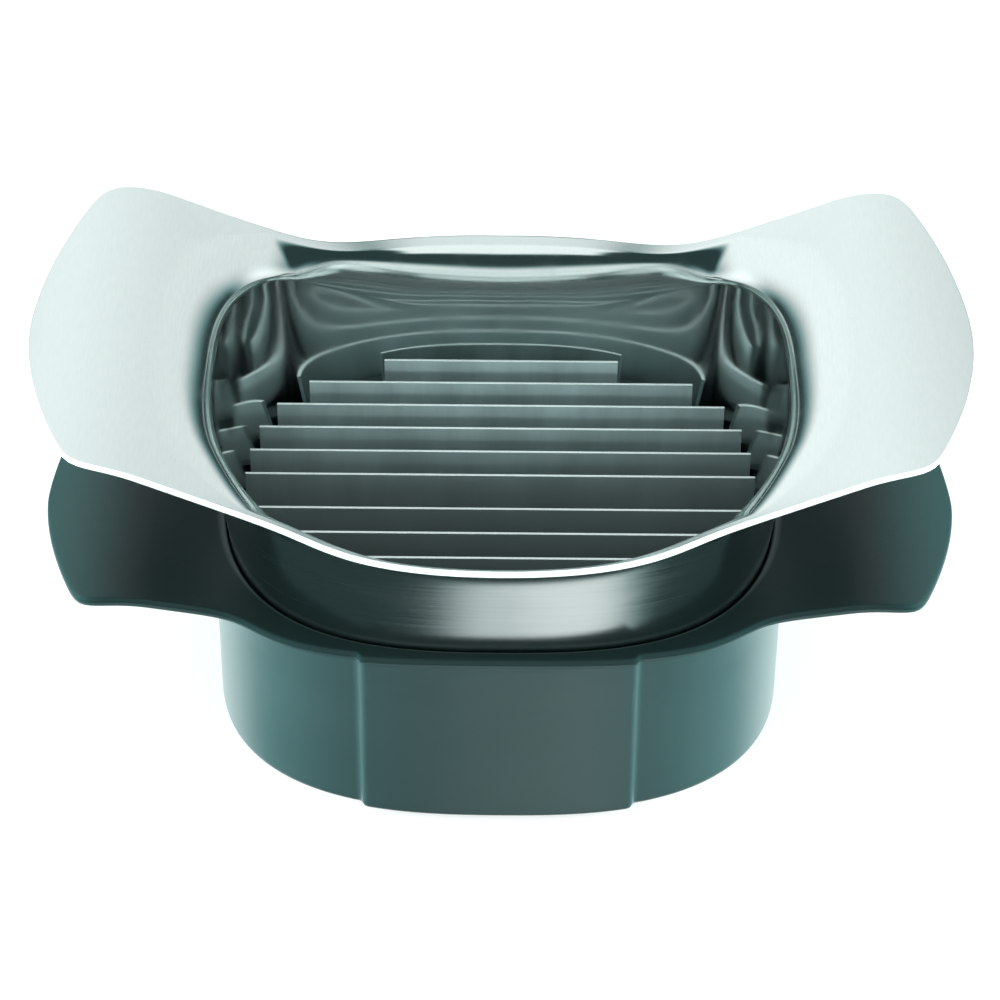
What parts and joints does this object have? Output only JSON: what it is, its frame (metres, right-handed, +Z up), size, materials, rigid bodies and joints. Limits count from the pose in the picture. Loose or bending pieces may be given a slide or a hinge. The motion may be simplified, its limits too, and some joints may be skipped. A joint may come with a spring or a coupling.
{
  "type": "push-through food slicer",
  "caption": "Push-through slicer: a sheet-steel frame with finger wings and straight blades drops into a moulded cup with matching wings.",
  "frame": {"origin": "middle of the flat underside that stands on the table", "axes": "+Z up, along the way the cutter lifts off; X along the two finger wings; Y across, along the row of blades"},
  "size_m": [0.178, 0.1114, 0.0823],
  "materials": {
    "frame_steel": "satin stainless sheet, bright drawn wall",
    "blade_steel": "ground stainless strip",
    "tray_plastic": "charcoal moulded plastic, fine matt grain",
    "comb_plastic": "dark moulded plastic"
  },
  "bodies": {
    "base": {"base_tray": "tray_plastic", "support_comb": "comb_plastic"},
    "cutter": {"cutter_frame": "frame_steel", "blade_01": "blade_steel", "blade_02": "blade_steel", "blade_03": "blade_steel", "blade_04": "blade_steel", "blade_05": "blade_steel", "blade_06": "blade_steel", "blade_07": "blade_steel", "blade_08": "blade_steel", "blade_09": "blade_steel", "blade_10": "blade_steel", "blade_11": "blade_steel", "blade_12": "blade_steel"}
  },
  "joints": [
    {"name": "cutter_lift", "type": "slide", "parent": "base", "child": "cutter", "axis": [0, 0, 1], "range_m": [0, 0.06]}
  ]
}
